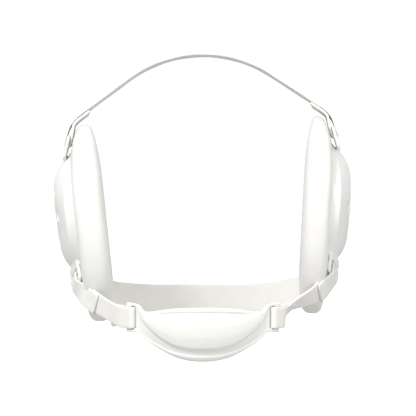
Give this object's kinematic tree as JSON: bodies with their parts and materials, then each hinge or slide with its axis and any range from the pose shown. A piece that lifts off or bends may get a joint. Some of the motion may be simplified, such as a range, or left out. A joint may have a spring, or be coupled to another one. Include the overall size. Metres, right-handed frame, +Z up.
{
  "type": "wrestling ear guard",
  "caption": "White padded ear guard headgear: two oval ear pads under domed shells, joined by crown, nape and chin straps with a moulded chin cup.",
  "frame": {"origin": "midway between the wearer's ears, where the head sits", "axes": "+X to the wearer's left, -Y ahead of the wearer, +Z up"},
  "size_m": [0.2328, 0.1904, 0.235],
  "materials": {
    "foam_skin": "satin smooth skin on soft foam",
    "moulded_shell": "satin",
    "moulded_rubber": "satin",
    "webbing": "smooth close-woven webbing"
  },
  "bodies": {
    "root": {"ear_pad_left": "foam_skin", "ear_pad_right": "foam_skin", "ear_shell_left": "moulded_shell", "ear_shell_right": "moulded_shell", "crown_strap": "webbing", "nape_strap": "webbing", "chin_strap_left": "webbing", "chin_strap_right": "webbing", "chin_cup": "moulded_rubber"}
  },
  "joints": []
}
